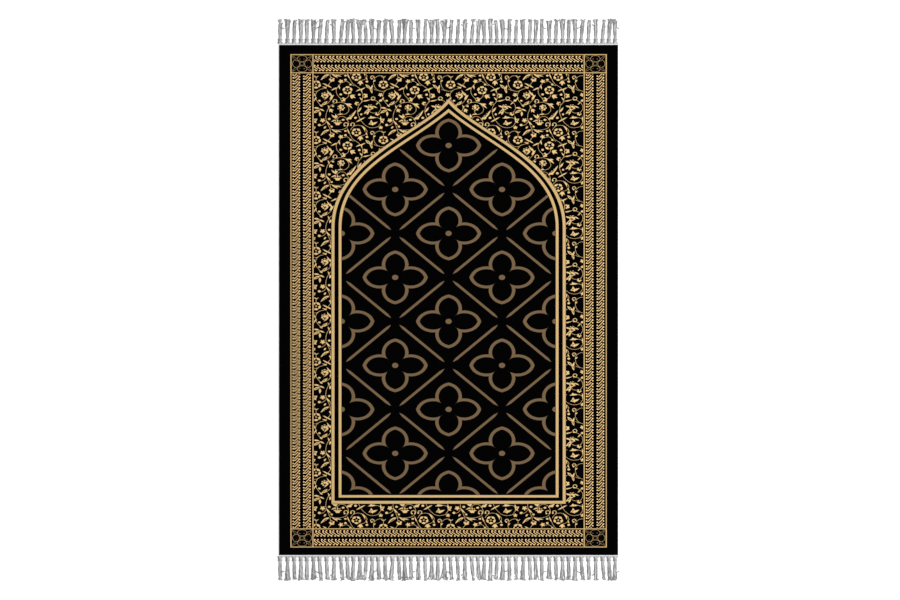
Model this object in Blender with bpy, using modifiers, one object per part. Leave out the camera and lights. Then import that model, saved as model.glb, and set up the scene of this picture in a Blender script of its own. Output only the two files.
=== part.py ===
"""Prayer rug: a flat woven panel with a knotted fringe sewn along each end.

Metres, +Z up. The origin is on the floor under the middle of the rug. +Y points to the end where
the woven arch has its tip, and +X to the right of someone who looks down at the rug from the foot
end. The rug lies flat, so every piece rests on Z = 0.
"""

import math

import bmesh
import bpy
from mathutils import Matrix

# The woven panel.
RUG_WIDTH = 0.700
RUG_LENGTH = 1.053
RUG_THICKNESS = 0.005
RUG_EDGE_ROUND = 0.0012
RUG_EDGE_STEPS = 2

# The fringe's tape, a narrow strip beside the panel's end.
SEWN_GAP = 0.0003
TAPE_WIDTH = 0.0048
TAPE_LENGTH = 0.7028
TAPE_THICKNESS = 0.0018

# The row of tassels, from left to right.
TASSEL_COUNT = 52
TASSEL_PITCH = 0.01352
FIRST_TASSEL_X = -0.3468
TASSEL_ROOT_WIDTH = 0.0084
TASSEL_CLEARANCE = 0.0006
FRINGE_REACH = 0.0538
CUT_UNEVENNESS = 0.0010
CUT_WAVE_STEP = 2.4

# One tassel from its root to its tip. along is the share of the way from the tape to the cut end,
# width and height are in mm, flare is the share of the tip's spread that is reached there, and lean
# the share of the tip's sideways lean.
TASSEL_SECTIONS = (
    {"along": 0.05, "width": 7.4, "height": 3.2, "flare": 0.00, "lean": 0.00},
    {"along": 0.10, "width": 8.9, "height": 5.2, "flare": 0.00, "lean": 0.00},
    {"along": 0.17, "width": 9.0, "height": 5.2, "flare": 0.00, "lean": 0.02},
    {"along": 0.25, "width": 6.8, "height": 3.6, "flare": 0.00, "lean": 0.06},
    {"along": 0.42, "width": 7.6, "height": 3.6, "flare": 0.00, "lean": 0.20},
    {"along": 0.62, "width": 7.8, "height": 3.2, "flare": 0.15, "lean": 0.50},
    {"along": 0.82, "width": 8.0, "height": 2.8, "flare": 0.75, "lean": 0.80},
    {"along": 1.00, "width": 8.0, "height": 2.0, "flare": 1.00, "lean": 1.00},
)
CREST_SHARE = 0.62  # the width of a tassel's top, as a share of its width on the floor

# How the tassels fall, in mm. The fringe repeats this set: shift moves a knot along the tape, lean
# is how far the tip falls to the right of its knot, and spread is the frayed tip's width.
TASSEL_SET = (
    {"shift": 0.0, "lean": 0.0, "spread": 8.5},
    {"shift": 2.0, "lean": -0.5, "spread": 12.0},
    {"shift": 2.0, "lean": 1.5, "spread": 8.0},
    {"shift": 2.5, "lean": 0.0, "spread": 13.0},
    {"shift": 1.5, "lean": 0.0, "spread": 9.0},
    {"shift": 1.5, "lean": 0.0, "spread": 13.0},
    {"shift": 0.5, "lean": 3.0, "spread": 8.0},
    {"shift": 1.5, "lean": 2.5, "spread": 8.0},
    {"shift": 3.5, "lean": -1.0, "spread": 11.5},
    {"shift": 4.0, "lean": 3.5, "spread": 8.0},
    {"shift": 3.5, "lean": 2.0, "spread": 9.0},
    {"shift": 3.0, "lean": -1.5, "spread": 10.0},
    {"shift": 3.0, "lean": -2.0, "spread": 13.0},
    {"shift": 2.0, "lean": -2.5, "spread": 7.0},
    {"shift": 1.0, "lean": -1.5, "spread": 13.0},
    {"shift": 0.0, "lean": 2.0, "spread": 8.5},
    {"shift": 0.5, "lean": 1.0, "spread": 8.0},
    {"shift": 2.5, "lean": -3.0, "spread": 11.5},
    {"shift": 2.0, "lean": 2.0, "spread": 8.0},
    {"shift": 0.5, "lean": 1.0, "spread": 12.0},
)
MM = 0.001

# Looks: linear colours, and the angle past which an edge shows as a crease.
PILE_BLACK = (0.010, 0.010, 0.011, 1.0)
PILE_ROUGHNESS = 0.95
YARN_GREY = (0.60, 0.60, 0.60, 1.0)
YARN_ROUGHNESS = 0.90
CREASE_ANGLE = math.radians(45)


def clear_scene():
    for obj in list(bpy.data.objects):
        bpy.data.objects.remove(obj, do_unlink=True)


def make_collection(name):
    collection = bpy.data.collections.new(name)
    bpy.context.scene.collection.children.link(collection)
    return collection


def make_material(name, colour, roughness):
    material = bpy.data.materials.new(name)
    material.use_nodes = True
    shader = material.node_tree.nodes["Principled BSDF"]
    shader.inputs["Base Color"].default_value = colour
    shader.inputs["Roughness"].default_value = roughness
    shader.inputs["Metallic"].default_value = 0.0
    return material


def mesh_object(name, bm, collection, material):
    mesh = bpy.data.meshes.new(name)
    bm.to_mesh(mesh)
    bm.free()
    mesh.materials.append(material)
    mesh.shade_smooth()
    mesh.set_sharp_from_angle(angle=CREASE_ANGLE)
    obj = bpy.data.objects.new(name, mesh)
    collection.objects.link(obj)
    return obj


def box_cage(width, length, height):
    """A box of the given size that stands on Z = 0, centred over the origin."""
    bm = bmesh.new()
    bmesh.ops.create_cube(
        bm,
        size=1.0,
        matrix=Matrix.Translation((0.0, 0.0, height / 2)) @ Matrix.Diagonal((width, length, height, 1.0)),
    )
    return bm


def make_rug_body(collection, material):
    """The panel: one flat slab with its edges rolled over."""
    slab = mesh_object("rug_body", box_cage(RUG_WIDTH, RUG_LENGTH, RUG_THICKNESS), collection, material)
    roll = slab.modifiers.new("rolled_edge", "BEVEL")
    roll.width = RUG_EDGE_ROUND
    roll.segments = RUG_EDGE_STEPS
    roll.limit_method = "ANGLE"


def tassel_of(index):
    """How one tassel falls, in metres: its knot's place, its lean, its spread and its reach."""
    row = TASSEL_SET[index % len(TASSEL_SET)]
    return {
        "x": FIRST_TASSEL_X + index * TASSEL_PITCH + row["shift"] * MM,
        "lean": row["lean"] * MM,
        "spread": row["spread"] * MM,
        "reach": FRINGE_REACH + CUT_UNEVENNESS * math.sin(CUT_WAVE_STEP * index),
    }


def section_row(section, tassels):
    """One section of every tassel: its centre, width, height and distance out from the rug's end."""
    root = SEWN_GAP + TAPE_WIDTH
    row = []
    for tassel in tassels:
        width = section["width"] * MM
        row.append(
            {
                "x": tassel["x"] + section["lean"] * tassel["lean"],
                "width": width + section["flare"] * (tassel["spread"] - width),
                "height": section["height"] * MM,
                "out": root + section["along"] * (tassel["reach"] - root),
            }
        )
    keep_apart(row)
    return row


def keep_apart(row):
    """Narrows neighbours until the clearance is left between them."""
    for left, right in zip(row, row[1:]):
        room = right["x"] - left["x"] - TASSEL_CLEARANCE
        wanted = (left["width"] + right["width"]) / 2
        if wanted > room:
            left["width"] *= room / wanted
            right["width"] *= room / wanted


def draw_out(bm, face, side, sections):
    """Lofts a tassel out of one face of the tape: a four-sided lock that lies on the floor."""
    for section in sections:
        face = bmesh.ops.extrude_discrete_faces(bm, faces=[face])["faces"][0]
        centre = face.calc_center_median()
        for vert in face.verts:
            on_floor = vert.co.z < centre.z
            half = section["width"] / 2 * (1.0 if on_floor else CREST_SHARE)
            vert.co.x = section["x"] + math.copysign(half, vert.co.x - centre.x)
            vert.co.y = side * section["out"]
            vert.co.z = 0.0 if on_floor else section["height"]


def make_fringe(name, side, collection, material):
    """A tape along one end of the rug with its tassels. side is +1 at the arch's end, -1 at the foot.

    The fringe is built outwards from Y = 0, and then moved to the rug's end.
    """
    tassels = [tassel_of(index) for index in range(TASSEL_COUNT)]
    rows = [section_row(section, tassels) for section in TASSEL_SECTIONS]
    bm = box_cage(TAPE_LENGTH, TAPE_WIDTH, TAPE_THICKNESS)
    for tassel in tassels:
        for root_side in (-TASSEL_ROOT_WIDTH / 2, TASSEL_ROOT_WIDTH / 2):
            everything = bm.verts[:] + bm.edges[:] + bm.faces[:]
            cut = (tassel["x"] + root_side, 0.0, 0.0)
            bmesh.ops.bisect_plane(bm, geom=everything, plane_co=cut, plane_no=(1.0, 0.0, 0.0))
    bmesh.ops.translate(bm, verts=bm.verts[:], vec=(0.0, side * (SEWN_GAP + TAPE_WIDTH / 2), 0.0))
    bm.normal_update()
    outer = [face for face in bm.faces if face.normal.y * side > 0.9]
    for index, tassel in enumerate(tassels):
        root = min(outer, key=lambda face: abs(face.calc_center_median().x - tassel["x"]))
        outer.remove(root)
        draw_out(bm, root, side, [row[index] for row in rows])
    bmesh.ops.translate(bm, verts=bm.verts[:], vec=(0.0, side * RUG_LENGTH / 2, 0.0))
    bmesh.ops.recalc_face_normals(bm, faces=bm.faces[:])
    mesh_object(name, bm, collection, material)


def main():
    clear_scene()
    parts = make_collection("prayer_rug")
    pile = make_material("pile", PILE_BLACK, PILE_ROUGHNESS)
    yarn = make_material("fringe_yarn", YARN_GREY, YARN_ROUGHNESS)
    make_rug_body(parts, pile)
    make_fringe("fringe_top", 1, parts, yarn)
    make_fringe("fringe_bottom", -1, parts, yarn)


main()
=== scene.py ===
"""Dresses the prayer rug: black pile, raised figures in gold and brown, and two knotted fringes.

Lengths are metres, but for the woven drawing, which is laid out in drawing millimetres from its own
centre. The drawing is square, and the weave draws it in along the rug by WEAVE_SQUASH. A place on it
is a complex number: across + along * 1j.
"""

import cmath
import math
import random
from itertools import product

import bpy
import numpy as np
from bpy.props import FloatProperty, FloatVectorProperty, IntProperty, PointerProperty
from bpy.types import Operator, Panel, PropertyGroup
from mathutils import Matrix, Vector, geometry


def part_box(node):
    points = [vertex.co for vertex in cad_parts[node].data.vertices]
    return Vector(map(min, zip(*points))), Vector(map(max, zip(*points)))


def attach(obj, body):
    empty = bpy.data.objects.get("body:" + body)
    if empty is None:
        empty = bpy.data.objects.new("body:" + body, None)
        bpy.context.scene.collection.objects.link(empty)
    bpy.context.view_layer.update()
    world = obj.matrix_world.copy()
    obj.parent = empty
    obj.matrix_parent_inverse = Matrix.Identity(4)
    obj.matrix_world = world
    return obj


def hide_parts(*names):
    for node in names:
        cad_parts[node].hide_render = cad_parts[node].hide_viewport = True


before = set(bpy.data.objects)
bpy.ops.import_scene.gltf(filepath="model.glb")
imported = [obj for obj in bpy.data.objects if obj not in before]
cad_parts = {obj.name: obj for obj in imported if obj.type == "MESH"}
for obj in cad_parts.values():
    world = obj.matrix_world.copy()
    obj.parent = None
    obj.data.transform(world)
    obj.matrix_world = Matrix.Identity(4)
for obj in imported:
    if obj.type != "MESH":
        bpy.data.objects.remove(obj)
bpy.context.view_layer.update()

bl_info = {
    "name": "Prayer Rug",
    "version": (1, 0, 0),
    "blender": (4, 5, 0),
    "location": "View3D > Sidebar > Prayer Rug",
    "description": "Weaves the pile, figures and fringes of a flat prayer rug",
    "category": "Add Mesh",
}

MM = 0.001

# The meshes' maps, and the shade of each point of a yarn: its own tone, with painted light and shade.
BAKE_MAP = "OFBake"
PLY_MAP = "ply"
SHADE = "shade"

# The rug's own sizes, from the frame.
RUG_LOW, RUG_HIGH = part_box("rug_body")
RUG_WIDTH = RUG_HIGH.x - RUG_LOW.x
RUG_LENGTH = RUG_HIGH.y - RUG_LOW.y
RUG_THICKNESS = RUG_HIGH.z - RUG_LOW.z

# How the drawing lies on the rug: drawing millimetres along the rug shrink by WEAVE_SQUASH, and the
# drawing's centre is DRAWING_SHIFT from the rug's, towards the foot.
WEAVE_SQUASH = 0.8236
DRAWING_SHIFT = -1.7 * MM
TOUCH = 0.002  # drawing points nearer than this are one
SEAM = 0.15  # left between figures of different pieces
PILE_SPREAD = 0.65  # cut pile fans out, so a figure is woven this much inside its drawn edge

# The frame of lines and bands, as distances in from its outer edge.
FRAME_HALF = 327.7 + 619.6j
LINE_WIDTH = 4.13
OUTER_LINE = (1.0, 3.05)
INNER_LINE = (46.32, 48.75)
SQUARE_SIDE = 49.6

# The guard bands' repeat, with across from the left row of knobs and down the band. BAND_HALF is how
# far that row lies from the band's middle.
BAND_HALF = 6.45
BAND_REPEAT = 14.54
BAND_STEP = 2.85  # how far the second band of a pair lags behind the first
BAND_KNOBS = (
    {"across": 0.0, "down": 0.0, "half_across": 2.2, "half_down": 2.45},
    {"across": 0.3, "down": 6.85, "half_across": 2.55, "half_down": 2.5},
    {"across": 12.8, "down": -3.45, "half_across": 2.3, "half_down": 2.5},
    {"across": 12.8, "down": 4.0, "half_across": 2.25, "half_down": 2.7},
)
# The two strokes of a repeat, each by the places it runs through.
BAND_STROKES = (
    ((2.2, 3.0), (4.2, 0.8), (6.4, -1.8), (8.6, -4.5), (10.8, -7.8), (12.6, -10.6)),
    ((0.2, 7.0), (2.8, 7.6), (4.2, 7.0), (6.3, 5.0), (8.4, 2.4), (10.0, 0.8)),
)
BAND_STROKE_WIDTH = 2.95
BAND_STROKE_STEP = 2.5
# Each pair of bands: how far its first knob lies from the corner square, and how far the middles of
# its two bands lie in from the frame's outer edge.
BAND_PAIRS = {
    "band_left": {"start": 3.6, "outer": 13.0, "inner": 35.0},
    "band_right": {"start": 3.3, "outer": 14.1, "inner": 36.3},
    "band_top": {"start": 11.15, "outer": 13.1, "inner": 35.5},
    "band_foot": {"start": 11.3, "outer": 14.2, "inner": 36.1},
}

# The corner squares' rings, from the square's centre.
CORNER_RINGS = (
    {"across": 0.3, "along": 12.8, "half_across": 9.8, "half_along": 7.7},
    {"across": 0.3, "along": -12.8, "half_across": 9.8, "half_along": 7.7},
    {"across": -12.2, "along": 0.0, "half_across": 7.4, "half_along": 9.2},
    {"across": 12.6, "along": 0.0, "half_across": 7.4, "half_along": 9.2},
)
# The dots in the rings, each with its radius, and a pale dot that is a painted highlight.
CORNER_DOTS = (
    (-4.4 + 12.0j, 1.4), (4.2 + 12.0j, 1.4), (-4.4 - 12.0j, 1.3),
    (-11.6 + 4.8j, 1.1), (-11.6 - 4.8j, 1.1), (11.8 + 4.8j, 1.1), (11.8 - 4.8j, 1.1),
)
HIGHLIGHT_DOT = 4.6 - 12.4j
HIGHLIGHT_DOT_RADIUS = 1.85
CORNER_STROKE = 2.1
# The lens on each diagonal: its two strokes' places, and how far each lies from the diagonal there.
CORNER_LENS = ((11.8 + 10.8j, 2.2), (15.9 + 14.9j, 1.9), (20.0 + 19.0j, 0.5))
CORNER_LENS_STROKE = 1.9
CORNER_LENS_STEP = 2.0
CORNER_MIDDLE = 3.5  # half the side of the small square in the middle
CORNER_MIDDLE_STROKE = 0.6
RING_POINTS = 36
KNOB_POINTS = 12
HIGHLIGHT_DOT_POINTS = 16

# The arch: each edge runs up at half_width to the spring, and closes in one curve to the tip, which is
# rise above the spring. side and tip_drop are the handles' lengths below the curve's ends, tip_out is
# the upper one's reach, and foot is where the edge ends.
SPRING = 184.4
ARCH_EDGES = {
    # half_width, rise, side, tip_out, tip_drop, foot
    "outer": (242.6, 323.1, 174.5, 58.4, 88.3, -509.7),
    "outer_inside": (235.1, 310.5, 165.7, 53.4, 76.0, -501.2),
    "inner": (227.9, 298.0, 149.5, 96.6, 97.8, -494.2),
    "field": (220.7, 288.0, 143.0, 93.0, 92.0, -486.7),
}
ARCH_STEPS = 48

# The lattice in the field: four-petalled flowers on a square grid, and bars between them. BAR_FROM is
# where a bar starts, as a share of its way from one gap between flowers to the next.
LATTICE_REPEAT = 220.7
LATTICE_TOP = 389.8
PETAL_INSIDE = (13.6 + 13.6j, 21.5 + 23.5j, 52.0 + 26.0j, 59.9)
PETAL_OUTSIDE = (27.0 + 27.0j, 33.5 + 29.2j, 60.5 + 27.0j, 67.5)
PETAL_STEPS = 12
PETAL_DOT = 7.2
PETAL_DOT_POINTS = 20
BAR_WIDTH = 5.9
BAR_FROM = 0.075
BAR_POINT = 12.0
BAR_WAIST = 0.62  # a bar's width halfway down its point, as a share of the whole

# The floral scroll: one square repeat, with across and down from its top left corner.
SCROLL_REPEAT = 139.0
SCROLL_HANG = 1.2  # how far down a repeat's figures reach, in repeats
VINE_WIDTH = 2.2
VINE_STEP = 2.4
SCROLL_VINES = (
    # Round the middle rosette, from its star to its side flower.
    ((54.5, 26), (49, 33.5), (46, 41.5), (47, 50.5), (50.5, 57), (56, 63)),
    ((63, 65), (68.5, 60.5), (71.5, 56), (71, 51)),
    ((58, 21.5), (63, 20.5), (68, 19.5), (73, 23.5), (77, 28), (83, 30.5)),
    # The main stem down the right half.
    ((69.5, 0), (73, 9), (75.5, 16.5), (80, 25), (86.5, 30.5), (93, 36), (97, 40.5)),
    ((97, 40.5), (100, 49), (101, 57), (99.5, 65), (97.5, 72.5), (93.5, 78.5), (91, 86), (90, 95),
     (91.5, 103), (94, 111), (96, 116)),
    ((97.5, 72.5), (102.5, 68.5), (110.5, 67), (117.5, 65), (122, 66.5), (127, 67.5), (133, 72),
     (137, 78), (138.5, 86), (136.5, 93), (132, 99)),
    ((133, 72), (137, 68), (139, 66)),
    ((114, 93), (118, 97.5), (123.5, 99), (129, 98.5)),
    ((96, 116), (102, 125), (109, 132), (116.5, 135.5), (124.5, 135.5), (132, 133), (135.5, 128),
     (138.5, 122), (138.5, 116), (133.5, 111.5), (126, 110)),
    ((123.5, 38.5), (127.5, 41), (131.5, 42.5)),
    # Round the side rosette, and on into the ring round the full rose.
    ((121, 10), (126, 11), (123.5, 15), (123, 23), (125, 32.5), (130, 40), (137.5, 44), (145, 44),
     (151, 40), (157, 38), (162, 35.5), (167, 30)),
    ((126, 11), (131, 6.5), (137.5, 5), (143, 7), (143.5, 13), (143.5, 18)),
    ((151, 40), (145.5, 45), (142.5, 52.5), (142.5, 60.5), (144.5, 67), (149, 74.5), (153, 79.5)),
    ((40, 56), (37, 63), (32.5, 69.5), (28.5, 74), (24, 77)),
    ((36, 16), (33, 23), (28, 30)),
    # The long stem down the left half.
    ((48, 71.5), (41.5, 75), (36, 79.5), (31.5, 84.5), (28, 92), (25.5, 99.5), (24.5, 107.5),
     (24.5, 114), (26.5, 121), (29, 127.5), (31.5, 134.5), (33, 140), (34, 146), (35.5, 152)),
    ((44, 73.5), (49, 72.5), (55.5, 72), (62.5, 74), (68, 79), (72, 87), (71.5, 94), (67, 100),
     (61, 102.5), (54.5, 102)),
    ((56, 92), (53.5, 96), (57, 101.5)),
    ((47, 116), (50, 110.5), (55.5, 107.5), (61, 108), (66.5, 112), (70, 118.5), (71.5, 125.5),
     (70, 131.5), (65.5, 137), (59, 140), (51.5, 141.5), (43.5, 141.5), (34, 139)),
    ((97.5, 156), (104, 154), (108, 150), (109.5, 144.5), (107, 138.5), (100.5, 132.5), (92, 129.5),
     (84, 131), (78.5, 136), (75.5, 142)),
    ((25, 121), (21, 127), (16.5, 129.5), (12, 130)),
)
# from across and down, to across and down, width, bend, teeth
SCROLL_LEAVES = (
    (31.5, 1.5, 13.5, 17, 8, -1.5, 4),
    (36, 0, 50, 11.5, 5, 0, 0),
    (41, 6, 57.5, 7.5, 5.5, 1.5, 2),
    (29, 31, 17.5, 23.5, 4.5, 0, 0),
    (26.5, 28.5, 37, 36, 4.5, 0, 0),
    (26, 34, 24, 37.5, 3.5, 0, 0),
    (25.5, 38, 16.5, 32.5, 4, -1, 0),
    (48, 35, 34.5, 42.5, 5.5, 0, 2),
    (51, 28, 53.5, 40, 5, 0, 0),
    (99, 39, 86, 45.5, 4.5, -1, 0),
    (95, 41.5, 107, 34.5, 4.5, 0, 0),
    (97.5, 38.5, 99, 48, 4, 0, 0),
    (116.5, 38, 106, 27, 8, 0, 1),
    (118, 39, 121, 28, 5.5, 0, 0),
    (117, 34, 120, 50, 7.5, 0, 2),
    (90.5, 97, 98.5, 84, 6, 0, 1),
    (63.5, 74, 79.5, 88, 6.5, 1.5, 2),
    (69, 76, 78.5, 77.5, 6, 0, 0),
    (66.5, 116, 87.5, 91, 8.5, -2, 4),
    (98.5, 114, 86.5, 122, 4.5, 0, 0),
    (93.5, 117, 106.5, 109, 4.5, 0, 0),
    (46.5, 113.5, 35.5, 102.5, 6, 0, 1),
    (46, 112, 44.5, 100.5, 5.5, 0, 0),
    (45, 111, 49, 105, 5, 0, 0),
    (46, 115.5, 35, 121, 5, 0, 1),
    (11.5, 88, -2.5, 86, 6, -1, 0),
    (11, 88.5, 22, 94.5, 5.5, 0.5, 0),
    (12.5, 91, -3, 100, 8, -0.5, 1),
    (12, 94.5, 12, 108, 6.5, 0.5, 1),
    (139, 121, 137, 106, 5, 0, 0),
    (137, 120, 146, 113, 9, 0, 1),
    (137.5, 118, 144.5, 124, 6, 0, 0),
    (15.5, 79, 28, 68.5, 8, -1, 1),
    (33, 66, 41.5, 53, 6.5, 1, 3),
    (37.5, 60, 32.5, 46.5, 5, 0, 1),
    (33.5, 55, 26.5, 41, 4.5, 0, 0),
    (133.5, 71.5, 127.5, 78.5, 4, 0, 0),
    (101.5, 69.5, 115.5, 66, 5, 0, 2),
    (100, 67.5, 94, 59, 4.5, 0, 0),
    (24.5, 117, 35.5, 131, 5, -0.5, 0),
    (97.5, 130, 105.5, 147, 5.5, 2.5, 1),
    (73, 12, 68.5, -1.5, 4, 0, 0),
    (107, 8.5, 110.5, 17, 4, 0, 0),
    (122.5, 21, 127.5, 15.5, 4.5, 0, 0),
    (32, 88, 28.5, 78, 4, 0, 0),
    (59, 101, 47.5, 103, 4.5, 0, 0),
    (112, 84, 102.5, 80.5, 6, 0, 0),
    (121, 81, 131, 86.5, 5, 0, 0),
    (116, 89, 102.5, 101.5, 8, 0, 2),
    (113, 92, 109.5, 104, 6.5, 0, 1),
    (117, 128, 131.5, 121, 7, -0.5, 0),
    (122, 121.5, 112.5, 127.5, 8, 0.5, 0),
    (119, 127, 118, 116, 6, 0, 0),
    (121, 122, 121, 131, 7, 0, 0),
    (128.5, 110.5, 110.5, 112.5, 6.5, -1, 0),
    (118, 112, 117.5, 105.5, 7, 0, 0),
    (143.5, 10, 149, 5.5, 3, 0, 0),
    (143.5, 10, 138, 5.5, 3, 0, 0),
    (30, 56, 20, 66, 4, 0, 0),
    (140, 66, 145, 59, 4.5, 0, 0),
)
# kind, across, down, radius, turn in degrees
SCROLL_BLOOMS = (
    ("rosette", 4.3, 27.4, 10.9, 90),
    ("rosette", 69.2, 41.8, 11.0, -90),
    ("rosette", 87.6, 8.0, 10.7, 90),
    ("rose", 22.2, 54.2, 8.6, 40),
    ("rose", 56.0, 85.5, 8.6, 150),
    ("rose", 116.4, 84.2, 8.0, 20),
    ("crown", 48.9, 124.0, 8.4, 90),
    ("bell", 37.0, 15.0, 6.8, 100),
    ("bell", 60.2, 65.2, 6.4, 165),
    ("bell", 105.6, 55.6, 6.6, 185),
    ("bell", 88.5, 75.0, 5.6, -25),
    ("bell", 130.9, 101.0, 5.6, 60),
    ("star", 55.5, 19.5, 6.0, 110),
    ("star", 137.4, 53.2, 5.8, 50),
    ("star", 137.9, 135.2, 5.4, 90),
    ("star", 18.0, 117.2, 6.4, 200),
    ("trefoil", 95.9, 23.0, 7.2, -95),
    ("trefoil", 79.6, 57.4, 7.4, -30),
    ("trefoil", 35.2, 92.6, 6.2, -60),
)
# across, down, half length, half width, turn in degrees
SCROLL_BERRIES = (
    (65.0, 4.9, 3.6, 3.2, 0),
    (65.0, 15.4, 3.8, 3.3, 0),
    (75.4, 27.4, 3.3, 3.2, 0),
    (55.3, 52.2, 3.7, 3.5, 0),
    (93.6, 52.8, 3.7, 3.6, 0),
    (109.3, 20.0, 3.7, 3.5, 0),
    (39.2, 81.6, 3.4, 3.2, 0),
    (31.5, 113.8, 3.8, 3.4, 0),
    (60.2, 116.0, 3.9, 3.3, 0),
    (97.6, 102.2, 3.2, 3.4, 0),
    (85.8, 111.0, 3.8, 3.7, 0),
    (75.6, 112.8, 3.6, 2.6, 40),
    (11.0, 129.0, 3.9, 3.8, 0),
    (22.6, 135.0, 4.3, 2.7, 55),
    (36.5, 133.0, 3.3, 3.2, 0),
    (11.2, 68.0, 3.6, 3.1, -20),
    (14.8, 80.6, 4.3, 2.7, -40),
    (137.6, 67.6, 4.3, 3.6, 15),
)
# across, down, radius, start and sweep in degrees
SCROLL_CURLS = (
    (43.4, 69.0, 3.9, -60, 270),
    (122.2, 62.2, 3.9, -90, 330),
    (120.6, 9.4, 3.6, -20, 270),
    (79.8, 127.4, 3.9, -60, 270),
    (66.0, 127.4, 4.2, -60, 290),
)
CURL_WIDTH = 3.0
CURL_END = 2.6
CURL_ARC_STEPS = 16
VEINED_WIDTH = 7.5  # leaves this wide have a dark vein
VEIN = (0.22, 0.72)  # where a vein starts and ends, as shares of its leaf
VEIN_WIDTH = 0.12  # as a share of the leaf's
VEIN_GROW = 0.3
TOOTHED_WIDTH = 5.0  # leaves this wide have a tooth at least
BERRY_TRIM = 0.2
BERRY_POINTS = 14


# ---------------------------------------------------------------- settings


def length_setting(name, description, default):
    """A length that a user can change."""
    return FloatProperty(name=name, description=description, default=default, unit="LENGTH")


def colour_setting(name, description, *default):
    """A linear colour that a user can change."""
    return FloatVectorProperty(name=name, description=description, default=default, subtype="COLOR")


class RugClothSettings(PropertyGroup):
    """Heights of the pile."""

    ground_height: length_setting("Ground height", "Top of the black pile above the floor", 4.55 * MM)
    figure_height: length_setting("Figure height", "Top of the gold and brown pile", RUG_THICKNESS)
    figure_root: length_setting("Figure root", "Where the figures end inside the ground", 4.2 * MM)
    figure_slope: length_setting("Figure slope", "How far a figure's top edge is trimmed back", 0.16 * MM)
    knot_pitch: length_setting("Knot pitch", "Distance from one knot of pile to the next", 1.25 * MM)
    edge_roll: length_setting("Edge roll", "Thickness of the overcast roll along the sides", 4.4 * MM)
    overcast_pitch: length_setting("Overcast pitch", "Distance from turn to turn of the edge yarn", 1.9 * MM)


class RugColourSettings(PropertyGroup):
    """The yarns' colours."""

    black: colour_setting("Black", "Black pile of the ground", 0.0006, 0.0006, 0.0007)
    gold: colour_setting("Gold", "Gold pile of the lines", 0.475, 0.323, 0.142)
    bright_gold: colour_setting("Bright gold", "Gold pile of the scroll", 0.60, 0.411, 0.182)
    band_gold: colour_setting("Band gold", "Gold pile of the guard bands", 0.765, 0.524, 0.232)
    brown: colour_setting("Brown", "Brown pile of the lattice", 0.130, 0.085, 0.044)
    # A painted highlight: the colour of the pale dot in each corner square.
    pale: colour_setting("Pale", "Pale grey pile of a dot in each corner square", 0.20, 0.20, 0.22)
    # The fringe yarn's tone runs between these two, together with its painted light and shade.
    fringe_pale: colour_setting("Pale fringe", "Fringe yarn where it is palest", 0.85, 0.85, 0.85)
    fringe_dark: colour_setting("Dark fringe", "Fringe yarn where it is darkest", 0.15, 0.15, 0.15)


class RugFringeSettings(PropertyGroup):
    """The fringe's yarns."""

    yarn_thickness: length_setting("Yarn thickness", "Diameter of one yarn", 1.9 * MM)
    crimp: length_setting("Crimp", "How far a yarn waves to each side", 0.40 * MM)
    seed: IntProperty(name="Seed", description="Chooses how the loose ends fall", default=7)


class RugStudioSettings(PropertyGroup):
    """The floor, light and camera."""

    floor: colour_setting("Floor", "Floor's colour", 0.95, 0.95, 0.95)
    sky: FloatProperty(name="Sky", description="Strength of the light from all round", default=0.62, min=0.0)
    key: FloatProperty(name="Key", description="Watts of the soft light above", default=81.0, min=0.0)
    lens: FloatProperty(name="Lens", description="Focal length in millimetres", default=200.0, min=1.0)
    view_width: length_setting("View width", "Width of the floor that the picture shows", 1.8594)
    view_shift: length_setting("View shift", "How far the camera stands right of the rug's middle", 2.9 * MM)


# ---------------------------------------------------------------- finishes


class Value:
    """A node's output in an expression, where each operator adds its Math node."""

    def __init__(self, finish, socket):
        self.finish = finish
        self.socket = socket

    def maths(self, operation, *others):
        return self.finish.node("ShaderNodeMath", {"operation": operation}, dict(enumerate((self, *others))))

    def __add__(self, other):
        return self.maths("ADD", other)

    def __sub__(self, other):
        return self.maths("SUBTRACT", other)

    def __rsub__(self, other):
        return self.finish.node("ShaderNodeMath", {"operation": "SUBTRACT"}, {0: other, 1: self})

    def __mul__(self, other):
        return self.maths("MULTIPLY", other)

    def __pow__(self, other):
        return self.maths("POWER", other)

    def __abs__(self):
        return self.maths("ABSOLUTE")

    __radd__ = __add__
    __rmul__ = __mul__

    def sine(self):
        return self.maths("SINE")


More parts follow.
